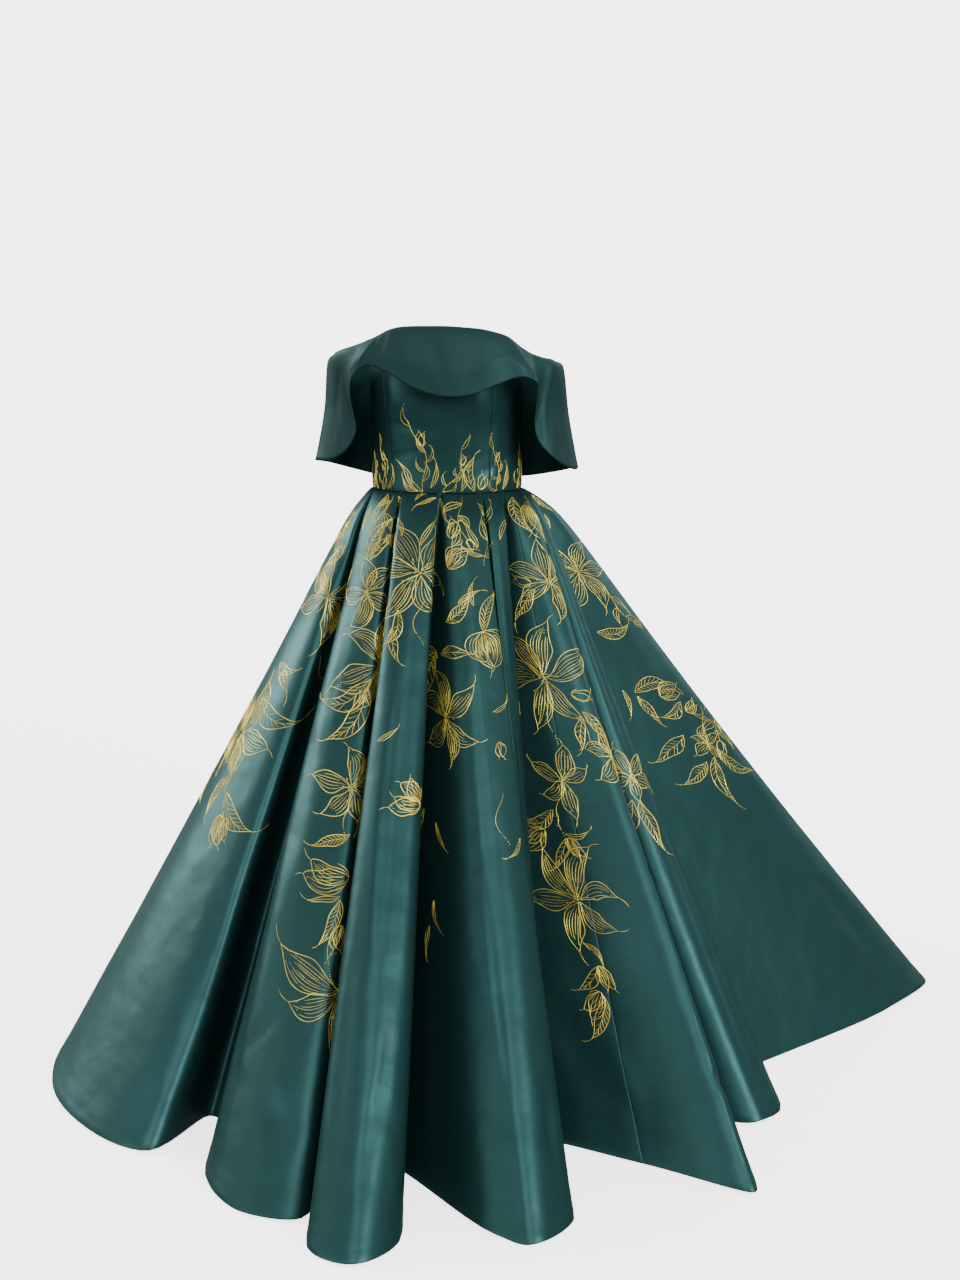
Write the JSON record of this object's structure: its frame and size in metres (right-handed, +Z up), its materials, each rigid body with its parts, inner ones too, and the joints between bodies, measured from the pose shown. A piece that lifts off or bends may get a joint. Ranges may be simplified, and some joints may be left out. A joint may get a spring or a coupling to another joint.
{
  "type": "ball gown",
  "caption": "Floor-length off-shoulder ball gown: pleated full skirt, fitted bodice, deep fold-over collar round the arms, zip at the centre back.",
  "frame": {"origin": "middle of the waist line, where the wearer's waist holds the gown up; the floor under the wearer is 1.110 m below it", "axes": "+Z up along the wearer, -Y towards the front, +X towards the wearer's left"},
  "size_m": [1.7956, 1.9777, 1.4201],
  "materials": {
    "satin": "deep teal-green satin with a soft sheen and a fine crosswise weave",
    "gold_print": "thin metallic gold lines printed in slight relief on the satin",
    "zip_tape": "matt woven tape and thread in the cloth's colour",
    "zip_metal": "enamelled slider and pull in the cloth's colour"
  },
  "bodies": {
    "gown": {"skirt_front": "satin", "skirt_side_left": "satin", "skirt_back_left": "satin", "skirt_back_right": "satin", "skirt_side_right": "satin", "bodice_front": "satin", "bodice_side_front_left": "satin", "bodice_back_left": "satin", "bodice_back_right": "satin", "bodice_side_front_right": "satin", "collar_front": "satin", "collar_back_left": "satin", "collar_back_right": "satin", "zip_tape": "zip_tape", "zip_slider": "zip_metal"},
    "pull": {"zip_pull": "zip_metal"}
  },
  "joints": [
    {"name": "pull_swing", "type": "hinge", "parent": "gown", "child": "pull", "pos_m": [0, 0.11457, 0.2266], "axis": [1, 0, 0], "range_deg": [0, 165]}
  ]
}
